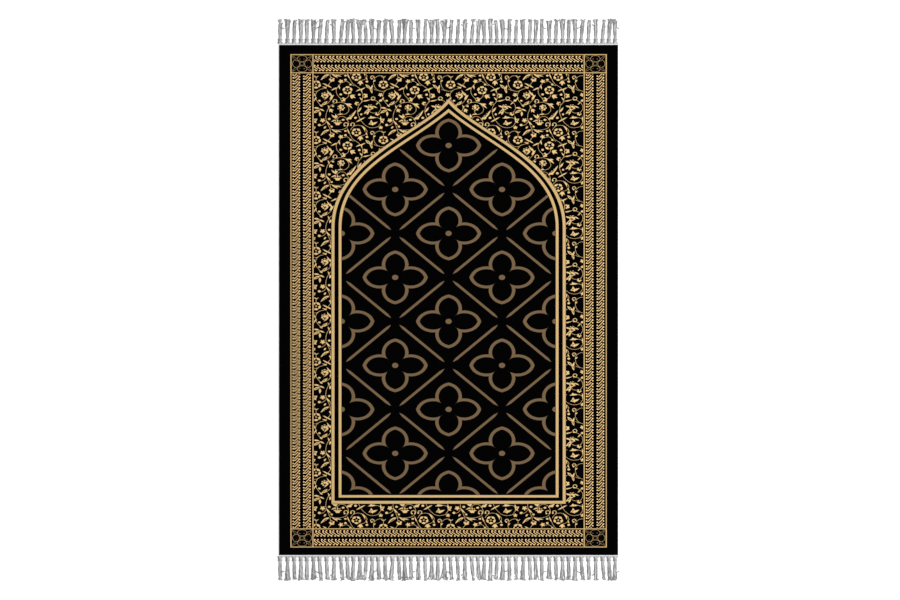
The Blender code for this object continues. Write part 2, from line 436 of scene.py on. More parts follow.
class Finish:
    """One material, made from nodes round its Principled shader."""

    def __init__(self, name, **constants):
        self.material = bpy.data.materials.new(name)
        self.material.use_nodes = True
        self.tree = self.material.node_tree
        self.shader = self.tree.nodes["Principled BSDF"]
        for socket, value in constants.items():
            self.shader.inputs[socket.replace("_", " ").title().replace("Ior", "IOR")].default_value = value

    def feed(self, socket, value):
        if isinstance(value, Value):
            self.tree.links.new(value.socket, socket)
        else:
            socket.default_value = value

    def node(self, kind, settings=None, sockets=None, output=0):
        """Adds a node, sets it up, feeds its sockets by name or number, and returns one output."""
        node = self.tree.nodes.new(kind)
        for setting, value in (settings or {}).items():
            setattr(node, setting, value)
        for socket, value in (sockets or {}).items():
            self.feed(node.inputs[socket], value)
        return Value(self, node.outputs[output])

    def place(self):
        """Where a point is on the rug, in metres."""
        return self.node("ShaderNodeTexCoord", output="Object")

    def two_axes(self, place):
        """A place's first two coordinates."""
        return [self.node("ShaderNodeSeparateXYZ", None, {0: place}, output=axis) for axis in "XY"]

    def noise(self, scale, detail):
        sockets = {"Vector": self.place(), "Scale": scale, "Detail": detail}
        return self.node("ShaderNodeTexNoise", None, sockets)

    def between(self, colour, other, share):
        """Mixes two colours: colour where share is 0, and other where it is 1."""
        sockets = {"Factor": share, 6: (*colour, 1.0), 7: (*other, 1.0)}
        return self.node("ShaderNodeMix", {"data_type": "RGBA"}, sockets, output=2)

    def finish(self, colour, roughness, relief, depth):
        """Feeds the shader's colour, roughness and relief, whose full depth is in metres."""
        self.feed(self.shader.inputs["Base Color"], colour)
        self.feed(self.shader.inputs["Roughness"], roughness)
        sockets = {"Height": relief, "Distance": depth, "Strength": 1.0}
        self.feed(self.shader.inputs["Normal"], self.node("ShaderNodeBump", None, sockets))
        return self.material


def scaled(colour, factor):
    return tuple(factor * channel for channel in colour)


# The pile: how long its rows' drift and its fuzz are and how far the drift goes, in knots, and how many
# patches of painted sheen a metre has.
DRIFT_LENGTH = 2.5
DRIFT_REACH = 0.9
FUZZ_LENGTH = 0.45
SHEEN_PATCHES = 9.0
PILE_RELIEF = 0.30 * MM
# Each yarn's pile: how far its colour varies with its painted crease shade, fuzz and painted sheen, and its
# sheen.
PILES = {
    "black": (0.45, 0.0),
    "gold": (0.24, 0.05),
    "bright_gold": (0.24, 0.05),
    "band_gold": (0.24, 0.05),
    "brown": (0.26, 0.03),
    # The pale dots are a painted highlight.
    "pale": (0.20, 0.05),
}


def pile_of(yarn):
    """The pile of one of the yarns, made once."""
    name = f"{yarn}_pile"
    scene = bpy.context.scene
    colour = getattr(scene.rug_colours, yarn)
    found = bpy.data.materials.get(name)
    return found or pile_finish(name, colour, scene.rug_cloth.knot_pitch, *PILES[yarn])


def pile_finish(name, colour, knot_pitch, contrast, sheen):
    """Short cut pile: uneven rows of tufts with painted shade in the creases between them, and patches of
    painted sheen.
    """
    finish = Finish(name, specular_ior_level=0.005, sheen_weight=sheen, sheen_roughness=0.6)
    across, along = finish.two_axes(finish.place())
    drift = finish.noise(1 / (DRIFT_LENGTH * knot_pitch), 1.0) * (DRIFT_REACH * knot_pitch)
    turn = math.pi / knot_pitch
    rows = abs(((across + drift) * turn).sine())
    picks = abs(((along + drift) * turn).sine())
    tufts = (rows * picks) ** 0.5
    fuzz = finish.noise(1 / (FUZZ_LENGTH * knot_pitch), 3.0)
    sheen_patches = finish.noise(SHEEN_PATCHES, 2.0)
    # Painted shade in the creases between tufts, the fuzz's own uneven tone, and patches of painted sheen.
    shade = tufts * 0.50 + fuzz * 0.30 + sheen_patches * 0.20
    tint = finish.between(scaled(colour, 1 - contrast), scaled(colour, 1 + contrast), shade)
    return finish.finish(tint, 0.82 + 0.16 * fuzz, tufts * 0.7 + fuzz * 0.3, PILE_RELIEF)


# The yarn: how many fibres a metre has across it, and how far its own shade, the painted shade in the
# grooves between its plies, and its fibres take it from dark to pale.
FIBRES = 1400.0
OWN_TINT = 0.70
GROOVE_SHADE_AND_FIBRE_TINT = 0.085
TINT_DROP = 0.034
YARN_RELIEF = 0.22 * MM


def yarn_finish(name, dark, pale):
    """Twisted yarn: winding plies with painted shade in their grooves, loose fibres, and a shade that drifts
    along each yarn.
    """
    finish = Finish(name, specular_ior_level=0.12, sheen_weight=0.08, sheen_roughness=0.5)
    winding = finish.node("ShaderNodeUVMap", {"uv_map": PLY_MAP})
    around, along = finish.two_axes(winding)
    plies = abs(((around * 2 + along) * math.pi).sine())
    fibres = finish.noise(FIBRES, 3.0)
    own = finish.node("ShaderNodeAttribute", {"attribute_name": SHADE}, output="Fac")
    # Painted shade in the grooves between plies, the fibres' own tone, and each point's shade, which holds
    # painted light too.
    shade = own * OWN_TINT + plies * GROOVE_SHADE_AND_FIBRE_TINT + fibres * GROOVE_SHADE_AND_FIBRE_TINT - TINT_DROP
    tint = finish.between(dark, pale, shade)
    return finish.finish(tint, 0.80 + 0.15 * fibres, plies * 0.75 + fibres * 0.25, YARN_RELIEF)


# ---------------------------------------------------------------- outlines on the drawing


def doubled_area(outline):
    return sum((a.conjugate() * b).imag for a, b in zip(outline, outline[1:] + outline[:1]))


def oval(centre, half_across, half_along, points, turn=0.0, grow=-PILE_SPREAD):
    steps = (cmath.rect(1.0, math.tau * k / points) for k in range(points))
    wide, high = half_across + grow, half_along + grow
    return [centre + cmath.rect(1.0, turn) * complex(wide * step.real, high * step.imag) for step in steps]


def lobed(centre, radius, lobes, bite, turn, points_each=6, swell=1.0):
    """A round outline with notches that go in by bite of the radius. turn points to a lobe.

    A swell under 1 makes the lobes rounder and the notches narrower.
    """
    radius -= PILE_SPREAD
    count = lobes * points_each
    outline = []
    for k in range(count):
        angle = math.tau * k / count
        notch = bite * (1 - abs(math.cos(lobes * angle / 2)) ** swell)
        outline.append(centre + cmath.rect(radius * (1 - notch), angle + turn))
    return outline


def box_outline(low, high):
    return [low, complex(high.real, low.imag), high, complex(low.real, high.imag)]


def bezier(start, start_handle, end_handle, end, steps):
    run = []
    for k in range(steps + 1):
        t = k / steps
        s = 1 - t
        run.append(s**3 * start + 3 * s * s * t * start_handle + 3 * s * t * t * end_handle + t**3 * end)
    return run


def smooth_run(places, step):
    """A smooth line through the places, with points about a step apart."""
    ends = [2 * places[0] - places[1], *places, 2 * places[-1] - places[-2]]
    run = [places[0]]
    for before, a, b, after in zip(ends, ends[1:], ends[2:], ends[3:]):
        steps = max(2, round(abs(b - a) / step))
        run += bezier(a, a + (b - before) / 6, b - (after - a) / 6, b, steps)[1:]
    return run


def stroke(run, width, taper=0.0, grow=-PILE_SPREAD):
    """The outline of a line of this width, with rounded ends. taper narrows its far end."""
    left, right = [], []
    width += 2 * grow
    for k, place in enumerate(run):
        ahead = run[min(k + 1, len(run) - 1)] - run[max(k - 1, 0)]
        half = width / 2 * (1 - taper * k / (len(run) - 1)) * ahead * 1j / abs(ahead)
        left.append(place + half)
        right.append(place - half)
    cap = 0.5 * width * (run[0] - run[1]) / abs(run[0] - run[1])
    far_cap = 0.5 * width * (1 - taper) * (run[-1] - run[-2]) / abs(run[-1] - run[-2])
    return [run[0] + cap, *right, run[-1] + far_cap, *left[::-1]]


LEAF_STEPS = 9
TOOTH = 0.42  # how deep a tooth is, as a share of the leaf's half width
TOOTH_STEPS = (0.08, 0.5, 0.94)
LEAF_POINT = 0.6  # the smooth end of a toothed leaf, in teeth
LEAF_POINT_NOTCH = 0.2
LEAF_LEAST = 0.15  # half the width of the thinnest leaf
LEAF_FULLNESS = 0.75  # under 1 a leaf is widest before its middle


def leaf(base, tip, width, bend=0.0, teeth=0, grow=-PILE_SPREAD):
    """A pointed leaf. bend bows it to its left, and teeth notch both of its sides."""
    side = (tip - base) * 1j / abs(tip - base)
    left, right = [], []
    if teeth:
        whole = teeth + LEAF_POINT
        steps = [((k + step) / whole, TOOTH * (1 - step)) for k in range(teeth) for step in TOOTH_STEPS]
        steps.append(((teeth + LEAF_POINT / 2) / whole, LEAF_POINT_NOTCH))
    else:
        steps = [(k / LEAF_STEPS, 0.0) for k in range(1, LEAF_STEPS)]
    for t, notch in steps:
        middle = base + (tip - base) * t + side * bend * 4 * t * (1 - t)
        half = max(LEAF_LEAST, width / 2 + grow) * math.sin(math.pi * t**LEAF_FULLNESS)
        left.append(middle + side * half * (1 - notch))
        right.append(middle - side * half * (1 - notch / 2))
    return [base, *right, tip, *left[::-1]]


class Figure:
    """Flat shapes of one colour, which one plate of pile unites."""

    def __init__(self):
        self.outlines = []
        self.shapes = {}
        self.marks = set()

    def outline(self, points):
        self.outlines.append(points if doubled_area(points) > 0 else points[::-1])
        return len(self.outlines) - 1

    def add(self, points, *holes):
        self.shapes[self.outline(points)] = {self.outline(hole) for hole in holes}

    def mark(self, points):
        """Lets the ground show through every shape here."""
        self.marks.add(self.outline(points))

    def united(self, inside, outside):
        """The points and triangles of all shapes together, inside one outline and clear of the others."""
        window = self.outline(inside)
        bare = self.marks | {self.outline(outline) for outline in outside}
        points, faces = [], []
        for outline in self.outlines:
            faces.append(list(range(len(points), len(points) + len(outline))))
            points += [(place.real, place.imag) for place in outline]
        places, _, triangles, _, _, owners = geometry.delaunay_2d_cdt(points, [], faces, 1, TOUCH)
        kept = []
        for triangle, over in zip(triangles, map(set, owners)):
            woven = any(not over & self.shapes[shape] for shape in over & self.shapes.keys())
            if woven and window in over and not over & bare:
                kept.append(triangle)
        return np.array(places, float).reshape(-1, 2), np.array(kept, int).reshape(-1, 3)


# ---------------------------------------------------------------- plates of pile


# Two edges' unit normals add up to less, the more their corner turns: below FULL_MITRE a corner is
# trimmed no further, and below NO_MITRE, where the edges run back over each other, not at all.
FULL_MITRE = 1.4
NO_MITRE = 0.2


def trimmed_back(places, edges, slope):
    """The places with every edge's ends moved to its left by the slope."""
    ahead = places[edges[:, 1]] - places[edges[:, 0]]
    inward = np.stack([-ahead[:, 1], ahead[:, 0]], 1) / np.linalg.norm(ahead, axis=1)[:, None]
    total = np.zeros_like(places)
    for end in (0, 1):
        np.add.at(total, edges[:, end], inward)
    length = np.maximum(np.linalg.norm(total, axis=1), 1e-9)[:, None]
    return places + total / length * slope * (2 / np.maximum(length, FULL_MITRE)) * (length > NO_MITRE)


def raised_plate(name, figure, inside, outside, material):
    """One closed plate of pile in the figure's shape, rooted in the ground."""
    cloth = bpy.context.scene.rug_cloth
    places, triangles = figure.united(inside, outside)
    places = places * (MM, WEAVE_SQUASH * MM) + (0.0, DRAWING_SHIFT)
    used, triangles = np.unique(triangles, return_inverse=True)
    places, triangles = places[used], triangles.reshape(-1, 3)
    count = len(places)
    edges = np.concatenate([triangles[:, (k, (k + 1) % 3)] for k in range(3)])
    seen = set(map(tuple, edges))
    rim = np.array([edge for edge in edges if (edge[1], edge[0]) not in seen])
    top = trimmed_back(places, rim, cloth.figure_slope)
    heights = np.repeat((cloth.figure_root, cloth.figure_height), count)[:, None]
    corners = np.hstack([np.vstack([places, top]), heights])
    below = triangles[:, ::-1].tolist()
    walls = np.stack([rim[:, 0], rim[:, 1], rim[:, 1] + count, rim[:, 0] + count], 1).tolist()
    above = (triangles + count).tolist()
    return piece_of(name, corners, below + walls + above, material, "pile")


def flat_map(mesh):
    """Maps the mesh flat, as it is seen from above."""
    corners = np.empty(len(mesh.vertices) * 3)
    mesh.vertices.foreach_get("co", corners)
    corners = corners.reshape(-1, 3)[:, :2]
    low, high = corners.min(0), corners.max(0)
    vertex = np.empty(len(mesh.loops), int)
    mesh.loops.foreach_get("vertex_index", vertex)
    places = (corners - low) / (high - low)
    mesh.uv_layers.new(name=BAKE_MAP).uv.foreach_set("vector", places[vertex].ravel())


def piece_of(name, corners, faces, material, slot, smooth=False):
    """A mesh piece on the rug's body."""
    mesh = bpy.data.meshes.new(name)
    mesh.from_pydata(np.asarray(corners).tolist(), [], faces)
    mesh.validate()
    mesh.materials.append(material)
    flat_map(mesh)
    if smooth:
        mesh.shade_smooth()
    piece = bpy.data.objects.new(name, mesh)
    bpy.context.scene.collection.objects.link(piece)
    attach(piece, "root")
    return piece


# ---------------------------------------------------------------- the ground


GROUND_STEP = 12 * MM
GROUND_UNEVEN = 0.07 * MM
GROUND_INSET = 1.0 * MM
GROUND_CREASE = math.radians(50)
# The roll's turns of yarn: the points round it and for each turn, how deep the creases between the turns
# are, how flat it is, and how far its ends are drawn in.
ROLL_SIDES = 8
ROLL_SAMPLES = 3
ROLL_RIDGE = 0.16
ROLL_FLATNESS = 0.62
ROLL_END = 0.55


def end_profile(cloth):
    """The cut end of the cloth, from the pile's top to the back: distance inwards and height."""
    return (
        (0.00 * MM, cloth.ground_height - 0.30 * MM),
        (-0.25 * MM, cloth.ground_height - 1.0 * MM),
        (0.00 * MM, 1.7 * MM),
        (-0.15 * MM, 1.2 * MM),
        (0.05 * MM, 0.35 * MM),
        (0.45 * MM, 0.0),
    )


def ground_grid(width, length, height):
    """Rows of places over the rug's top, and the loop of their outermost ones."""
    columns = max(2, round(width / GROUND_STEP))
    rows = max(2, round(length / GROUND_STEP))
    places = []
    for row in range(rows + 1):
        for column in range(columns + 1):
            x = width * (column / columns - 0.5)
            y = length * (row / rows - 0.5)
            # Two bent waves across each other, so that no swell is like the next.
            swell = math.sin(31 * x + 2 * math.sin(9 * y)) * math.sin(23 * y + 1.5 * math.sin(17 * x))
            places.append((x, y, height + GROUND_UNEVEN * swell))
    wide = columns + 1
    faces = [
        (k, k + 1, k + 1 + wide, k + wide)
        for row in range(rows)
        for k in range(row * wide, row * wide + columns)
    ]
    foot = list(range(columns))
    right = [row * wide + columns for row in range(rows)]
    top = [rows * wide + column for column in range(columns, 0, -1)]
    left = [row * wide for row in range(rows, 0, -1)]
    return places, faces, foot + right + top + left


def overcast_roll(side, cloth):
    """The yarn that is wound over one long side: a flattened roll with a ridge for each turn."""
    turns = round(RUG_LENGTH / cloth.overcast_pitch)
    rings = turns * ROLL_SAMPLES
    half_height = cloth.edge_roll / 2
    places, faces = [], []
    for ring in range(rings + 1):
        along = ring / ROLL_SAMPLES
        closing = min(1.0, ROLL_END + (1 - ROLL_END) * min(ring, rings - ring) / ROLL_SAMPLES)
        for k in range(ROLL_SIDES):
            around = k / ROLL_SIDES
            ridge = closing * (1 - ROLL_RIDGE * (1 - abs(math.sin(math.pi * (along + side * around)))))
            out = ROLL_FLATNESS * half_height * ridge * math.cos(math.tau * around)
            up = half_height * ridge * math.sin(math.tau * around)
            x = side * (RUG_WIDTH / 2 - ROLL_FLATNESS * half_height + out)
            y = RUG_LENGTH * (along / turns - 0.5)
            places.append((x, y, half_height + up))
    for ring in range(rings):
        for k in range(ROLL_SIDES):
            a, b = ring * ROLL_SIDES + k, ring * ROLL_SIDES + (k + 1) % ROLL_SIDES
            quad = (a, b, b + ROLL_SIDES, a + ROLL_SIDES)
            faces.append(quad if side < 0 else quad[::-1])
    first, last = tuple(range(ROLL_SIDES)), tuple(range(rings * ROLL_SIDES, (rings + 1) * ROLL_SIDES))
    faces += [first[::-1], last] if side < 0 else [first, last[::-1]]
    return places, faces


def joined(parts):
    """One list of places and one of faces from several."""
    places, faces = [], []
    for more_places, more_faces in parts:
        shift = len(places)
        places += more_places
        faces += [tuple(k + shift for k in face) for face in more_faces]
    return places, faces


class RUG_OT_lay_ground(Operator):
    """Lay the black pile, with its cut ends and the overcast roll along each side"""

    bl_idname = "rug.lay_ground"
    bl_label = "Lay Ground"

    def execute(self, context):
        cloth = context.scene.rug_cloth
        width = RUG_WIDTH - 2 * GROUND_INSET
        length = RUG_LENGTH - 2 * GROUND_INSET
        places, faces, rim = ground_grid(width, length, cloth.ground_height)
        loops = [rim]
        for inwards, height in end_profile(cloth):
            out = GROUND_INSET - inwards
            loops.append(list(range(len(places), len(places) + len(rim))))
            for k in rim:
                x, y, _ = places[k]
                places.append((x * (1 + 2 * out / width), y * (1 + 2 * out / length), height))
        for upper, lower in zip(loops, loops[1:]):
            for k in range(len(rim)):
                after = (k + 1) % len(rim)
                faces.append((upper[k], lower[k], lower[after], upper[after]))
        faces.append(tuple(reversed(loops[-1])))
        parts = [(places, faces)] + [overcast_roll(side, cloth) for side in (-1, 1)]
        ground = piece_of("rug_ground", *joined(parts), pile_of("black"), "pile", smooth=True)
        ground.data.set_sharp_from_angle(angle=GROUND_CREASE)
        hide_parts("rug_body")
        return {"FINISHED"}


# ---------------------------------------------------------------- frame lines, corners and bands


def frame_box(inset):
    """The frame's outline, so far in from its outer edge."""
    high = FRAME_HALF - inset * (1 + 1j)
    return box_outline(-high, high)


def draw_corner(figure, centre):
    """A square of gold lines round four rings, which cross over small lenses on the diagonals."""
    half, inside = ((far - SQUARE_SIDE / 2) * (1 + 1j) for far in reversed(INNER_LINE))
    figure.add(box_outline(centre - half, centre + half), box_outline(centre - inside, centre + inside))
    reach = CORNER_STROKE / 2 - PILE_SPREAD
    for ring in CORNER_RINGS:
        middle = centre + complex(ring["across"], ring["along"])
        outer, inner = (
            oval(middle, ring["half_across"], ring["half_along"], RING_POINTS, grow=grow)
            for grow in (reach, -reach)
        )
        figure.add(outer, inner)
    aside = cmath.rect(1.0, 0.75 * math.pi)
    for across, along, side in product((-1, 1), repeat=3):
        places = [place + side * apart * aside for place, apart in CORNER_LENS]
        places = [centre + complex(across * place.real, along * place.imag) for place in places]
        figure.add(stroke(smooth_run(places, CORNER_LENS_STEP), CORNER_LENS_STROKE))
    reach = CORNER_MIDDLE_STROKE / 2
    outer, inner = ((CORNER_MIDDLE + grow) * (1 + 1j) for grow in (reach, -reach))
    figure.add(box_outline(centre - outer, centre + outer), box_outline(centre - inner, centre + inner))
    for dot, radius in CORNER_DOTS:
        figure.add(oval(centre + dot, radius, radius, KNOB_POINTS))


def corner_centres():
    middle = FRAME_HALF - SQUARE_SIDE / 2 * (1 + 1j)
    return [complex(across * middle.real, along * middle.imag) for across in (-1, 1) for along in (-1, 1)]


class RUG_OT_weave_frame(Operator):
    """Weave the gold frame lines and the four corner squares"""

    bl_idname = "rug.weave_frame"
    bl_label = "Weave Frame"

    def execute(self, context):
        figure = Figure()
        for near, far in (OUTER_LINE, INNER_LINE):
            figure.add(frame_box(near), frame_box(far))
        pale = Figure()
        for centre in corner_centres():
            draw_corner(figure, centre)
            # A painted highlight: a pale dot in each corner square.
            pale.add(oval(centre + HIGHLIGHT_DOT, HIGHLIGHT_DOT_RADIUS, HIGHLIGHT_DOT_RADIUS, HIGHLIGHT_DOT_POINTS))
        whole = frame_box(-1.0)
        raised_plate("frame_lines", figure, whole, [], pile_of("gold"))
        raised_plate("pale_dots", pale, whole, [], pile_of("pale"))
        return {"FINISHED"}


def draw_band(figure, origin, turn, first, count):
    """One guard band. first is the distance down it to its first knob."""
    for k in range(-1, count + 2):
        start = first + k * BAND_REPEAT

        def spot(across, down):
            return origin + turn * complex(across, -(start + down))

        for knob in BAND_KNOBS:
            centre = spot(knob["across"], knob["down"])
            shape = oval(centre, knob["half_across"], knob["half_down"], KNOB_POINTS, cmath.phase(turn))
            figure.add(shape)
        for line in BAND_STROKES:
            run = smooth_run([spot(*place) for place in line], BAND_STROKE_STEP)
            figure.add(stroke(run, BAND_STROKE_WIDTH))


def draw_band_pair(figure, corner, turn, first, length, centres):
    """Two bands side by side from a corner of the window between two corner squares."""
    for k, centre in enumerate(centres):
        origin = corner + turn * (centre - BAND_HALF)
        draw_band(figure, origin, turn, first + k * BAND_STEP, int(length / BAND_REPEAT))


class RUG_OT_weave_bands(Operator):
    """Weave the pairs of slanting guard bands along the four sides of the frame"""

    bl_idname = "rug.weave_bands"
    bl_label = "Weave Guard Bands"

    def execute(self, context):
        inner = FRAME_HALF - SQUARE_SIDE * (1 + 1j)
        wide, high = FRAME_HALF.real, FRAME_HALF.imag
        near, far = LINE_WIDTH + SEAM, SQUARE_SIDE - LINE_WIDTH - SEAM
        bands = (
            # name, where the pair starts, its turn, its length, and the window's two corners
            ("band_left", complex(-wide, inner.imag), 1, 2 * inner.imag,
             complex(near - wide, -inner.imag + SEAM), complex(far - wide, inner.imag - SEAM)),
            ("band_right", inner, 1, 2 * inner.imag,
             complex(wide - far, -inner.imag + SEAM), complex(wide - near, inner.imag - SEAM)),
            ("band_top", complex(inner.real, high), -1j, 2 * inner.real,
             complex(-inner.real + SEAM, high - far), complex(inner.real - SEAM, high - near)),
            ("band_foot", complex(inner.real, -inner.imag), -1j, 2 * inner.real,
             complex(-inner.real + SEAM, near - high), complex(inner.real - SEAM, far - high)),
        )
        for name, corner, turn, length, low, top in bands:
            pair = BAND_PAIRS[name]
            # A band across the rug runs from right to left, so its start is what is left over.
            first = pair["start"] if turn == 1 else (length - pair["start"]) % BAND_REPEAT
            centres = [pair["outer"], pair["inner"]]
            if name in ("band_right", "band_foot"):
                centres = [SQUARE_SIDE - centre for centre in reversed(centres)]
            figure = Figure()
            draw_band_pair(figure, corner, turn, first, length, centres)
            raised_plate(name, figure, box_outline(low, top), [], pile_of("band_gold"))
        return {"FINISHED"}


# ---------------------------------------------------------------- the arch and its field


def arch_outline(edge, grow=0.0):
    """One edge of the arch, from its tip round by the right. grow widens it all round."""
    half_width, rise, side_handle, tip_out, tip_drop, foot_end = ARCH_EDGES[edge]
    side = complex(half_width + grow, SPRING)
    tip = complex(0.0, SPRING + rise + grow)
    handle = complex(tip_out, tip.imag - tip_drop)
    right = bezier(side, side + 1j * side_handle, handle, tip, ARCH_STEPS)
    foot = complex(side.real, foot_end - grow)
    left = [complex(-place.real, place.imag) for place in reversed(right[:-1])]
    return [foot, *right, *left, complex(-foot.real, foot.imag)]


class RUG_OT_weave_arch(Operator):
    """Weave the two gold lines of the arch"""

    bl_idname = "rug.weave_arch"
    bl_label = "Weave Arch"

    def execute(self, context):
        figure = Figure()
        for outer, inner in (("outer", "outer_inside"), ("inner", "field")):
            figure.add(arch_outline(outer, -PILE_SPREAD), arch_outline(inner, PILE_SPREAD))
        raised_plate("arch_lines", figure, frame_box(SQUARE_SIDE), [], pile_of("gold"))
        return {"FINISHED"}


def petals(edge):
    """A closed ring of four petals from half of one of its edges, which starts in the notch."""
    half = bezier(*edge, PETAL_STEPS)
    petal = half + [place.conjugate() for place in reversed(half[1:-1])]
    return [place * quarter for quarter in (-1j, -1, 1j, 1) for place in petal]


def field_nodes():
    """The centres of the lattice's flowers."""
    nodes = []
    for row in range(-1, 9):
        along = LATTICE_TOP - row * LATTICE_REPEAT / 2
        shift = (row % 2) * LATTICE_REPEAT / 2
        nodes += [complex(k * LATTICE_REPEAT + shift, along) for k in (-2, -1, 0, 1)]
    return nodes


class RUG_OT_weave_lattice(Operator):
    """Weave the field's brown lattice of four-petalled flowers and slanting bars"""

    bl_idname = "rug.weave_lattice"
    bl_label = "Weave Lattice"

    def execute(self, context):
        figure = Figure()
        inside, outside = petals(PETAL_INSIDE), petals(PETAL_OUTSIDE)
        step = LATTICE_REPEAT / 2
        for node in field_nodes():
            figure.add([node + place for place in outside], [node + place for place in inside])
            figure.add(oval(node, PETAL_DOT, PETAL_DOT, PETAL_DOT_POINTS))
            gap = node - 1j * step
            for slant in (1 + 1j, 1 - 1j):
                start, end = gap + slant * step * BAR_FROM, gap + slant * step * (1 - BAR_FROM)
                figure.add(bar(start, end))
        field = arch_outline("field", -SEAM)
        raised_plate("field_lattice", figure, field, [], pile_of("brown"))
        return {"FINISHED"}


def bar(start, end):
    """A straight bar with pointed ends."""
    ahead = (end - start) / abs(end - start)
    half = BAR_WIDTH / 2 * ahead * 1j
    near, far = start + BAR_POINT * ahead, end - BAR_POINT * ahead
    first, last = start + BAR_POINT / 2 * ahead, end - BAR_POINT / 2 * ahead
    return [
        start, first - BAR_WAIST * half, near - half, far - half, last - BAR_WAIST * half,
        end, last + BAR_WAIST * half, far + half, near + half, first + BAR_WAIST * half,
    ]


# ---------------------------------------------------------------- the floral scroll


def rosette(figure, centre, radius, turn):
    """Five petals round a bright eye, with a dark wedge between each two."""
    figure.add(lobed(centre, radius, 5, 0.20, turn + math.pi / 5, swell=0.6))
    for k in range(5):
        way = cmath.rect(radius, turn + math.tau * k / 5)
        figure.mark(leaf(centre + 0.11 * way, centre + 0.74 * way, 0.33 * radius, grow=PILE_SPREAD))


def rose(figure, centre, radius, turn):
    """A full flower with two crescents round its heart."""
    figure.add(lobed(centre, radius, 7, 0.30, turn))
    for reach, start, sweep in ((0.60, 0.2, 2.0), (0.52, 3.6, 1.2), (0.30, 2.6, 2.6)):
        arc = [centre + cmath.rect(reach * radius, turn + start + sweep * k / 6) for k in range(7)]
        figure.mark(stroke(arc, 0.16 * radius, 0.4, grow=PILE_SPREAD / 2))


def crown(figure, centre, radius, turn):
    """A flower seen from the side, with five points over a cup."""
    figure.add(lobed(centre, 0.78 * radius, 5, 0.16, turn))
    for k in range(-2, 3):
        way = cmath.rect(radius, turn + 0.72 * k)
        figure.add(leaf(centre, centre + 1.12 * way, 0.55 * radius))
        if k % 2:
            figure.mark(oval(centre + 0.45 * way, 0.12 * radius, 0.20 * radius, 8, turn, grow=PILE_SPREAD))


def bell(figure, centre, radius, turn):
    """A small flower with a dark throat off its middle."""
    figure.add(lobed(centre, radius, 5, 0.34, turn))
    throat = centre + cmath.rect(0.36 * radius, turn)
    figure.mark(oval(throat, 0.28 * radius, 0.18 * radius, 10, turn + 1.0, grow=PILE_SPREAD))


def star(figure, centre, radius, turn):
    figure.add(lobed(centre, radius, 5, 0.50, turn, 4))


def trefoil(figure, centre, size, turn):
    """Three leaflets from one stalk. turn is the middle one's direction."""
    way = cmath.rect(size, turn)
    base = centre - 0.75 * way
    figure.add(leaf(base, centre + 1.05 * way, 0.95 * size))
    for side in (-1, 1):
        figure.add(leaf(base, centre + 0.95 * way * cmath.rect(1.0, side * 1.15), 0.75 * size, -side * 0.8))


BLOOM_SHAPES = {shape.__name__: shape for shape in (rosette, rose, crown, bell, star, trefoil)}


def draw_scroll_tile(figure, corner):
    """One repeat of the scroll, hung from its top left corner."""

    def spot(across, down):
        return corner + complex(across, -down)

    for vine in SCROLL_VINES:
        figure.add(stroke(smooth_run([spot(*place) for place in vine], VINE_STEP), VINE_WIDTH))
    for from_across, from_down, to_across, to_down, width, bend, teeth in SCROLL_LEAVES:
        base, tip = spot(from_across, from_down), spot(to_across, to_down)
        figure.add(leaf(base, tip, width, bend, max(teeth, int(width >= TOOTHED_WIDTH))))
        if width >= VEINED_WIDTH:
            start, end = (base + share * (tip - base) for share in VEIN)
            figure.mark(leaf(start, end, VEIN_WIDTH * width, bend / 2, grow=VEIN_GROW))
    for kind, across, down, radius, turn in SCROLL_BLOOMS:
        BLOOM_SHAPES[kind](figure, spot(across, down), radius, math.radians(turn))
    trimmed = -PILE_SPREAD - BERRY_TRIM
    for across, down, half_length, half_width, turn in SCROLL_BERRIES:
        centre, turned = spot(across, down), math.radians(turn)
        figure.add(oval(centre, half_length, half_width, BERRY_POINTS, turned, trimmed))
    for across, down, radius, start, sweep in SCROLL_CURLS:
        centre = spot(across, down)
        turns = [math.radians(start + sweep * k / CURL_ARC_STEPS) for k in range(CURL_ARC_STEPS + 1)]
        arc = [centre + cmath.rect(radius, turn) for turn in turns]
        figure.add(stroke(arc, CURL_WIDTH))
        figure.add(oval(arc[-1], CURL_END, CURL_END, KNOB_POINTS))


class RUG_OT_weave_scroll(Operator):
    """Weave the floral scroll between the frame and the arch"""

    bl_idname = "rug.weave_scroll"
    bl_label = "Weave Scroll"

    def execute(self, context):
        window = FRAME_HALF - (SQUARE_SIDE + SEAM) * (1 + 1j)
        corner = complex(SQUARE_SIDE - FRAME_HALF.real, FRAME_HALF.imag - SQUARE_SIDE)
        arch = arch_outline("outer", SEAM)
        halves = (
            ("scroll_upper", box_outline(complex(-window.real, 0.0), window)),
            ("scroll_lower", box_outline(-window, complex(window.real, 0.0))),
        )
        for name, outline in halves:
            figure = Figure()
            low, high = outline[0].imag, outline[2].imag
            for row in range(-1, 9):
                top = corner.imag - row * SCROLL_REPEAT
                if top - SCROLL_HANG * SCROLL_REPEAT > high or top < low:
                    continue
                for column in range(-1, 4):
                    draw_scroll_tile(figure, complex(corner.real + column * SCROLL_REPEAT, top))
            raised_plate(name, figure, outline, [arch], pile_of("bright_gold"))
        return {"FINISHED"}


# ---------------------------------------------------------------- the fringes


